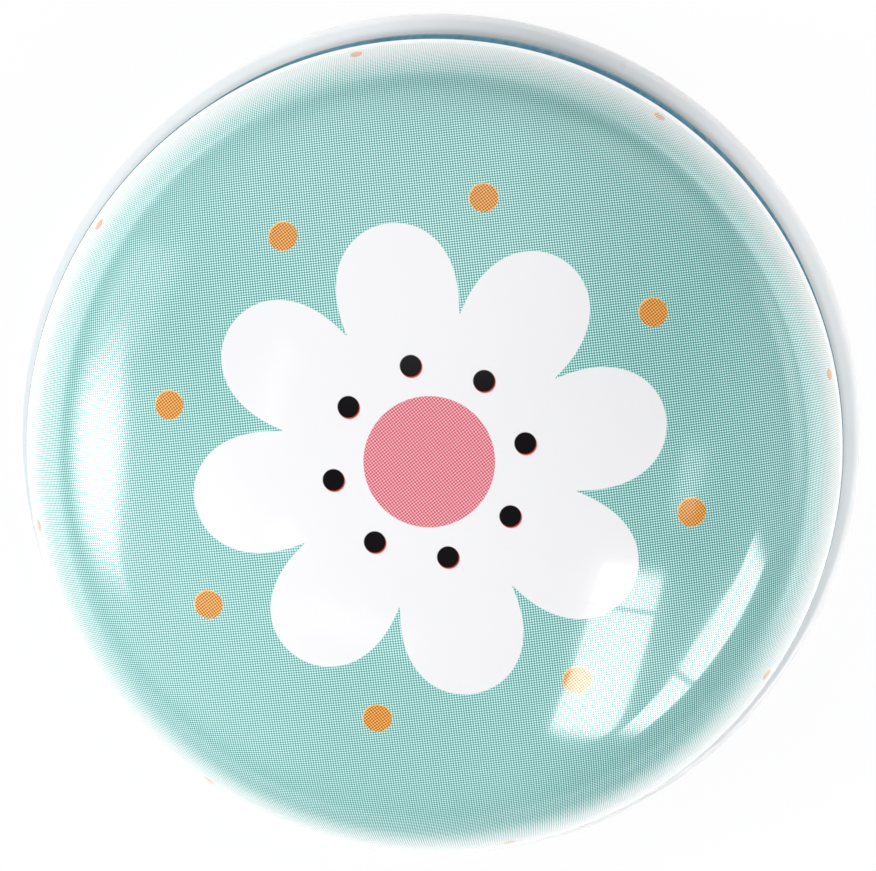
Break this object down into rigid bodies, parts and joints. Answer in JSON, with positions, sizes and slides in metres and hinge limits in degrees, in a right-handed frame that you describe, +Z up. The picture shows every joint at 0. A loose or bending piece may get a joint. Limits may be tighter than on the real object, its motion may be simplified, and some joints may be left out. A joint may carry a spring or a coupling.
{
  "type": "baby tooth box",
  "caption": "Small round keepsake tin with a domed printed slip-on lid over a shallow white base with a folded bottom lip.",
  "frame": {"origin": "centre of the base, on the surface the tin stands on", "axes": "+Z up along the tin's axis, towards the lid's crown; +Y towards the top edge of the lid's print"},
  "size_m": [0.0492, 0.0492, 0.0189],
  "materials": {
    "printed_lid": "mint print under a glossy clear varnish",
    "white_lacquer": "white lacquer, semi-gloss"
  },
  "bodies": {
    "base": {"body_wall": "white_lacquer", "bottom_disc": "white_lacquer"},
    "lid": {"lid_shell": "printed_lid"}
  },
  "joints": [
    {"name": "lid_lift", "type": "slide", "parent": "base", "child": "lid", "axis": [0, 0, 1], "range_m": [0, 0.03]}
  ]
}
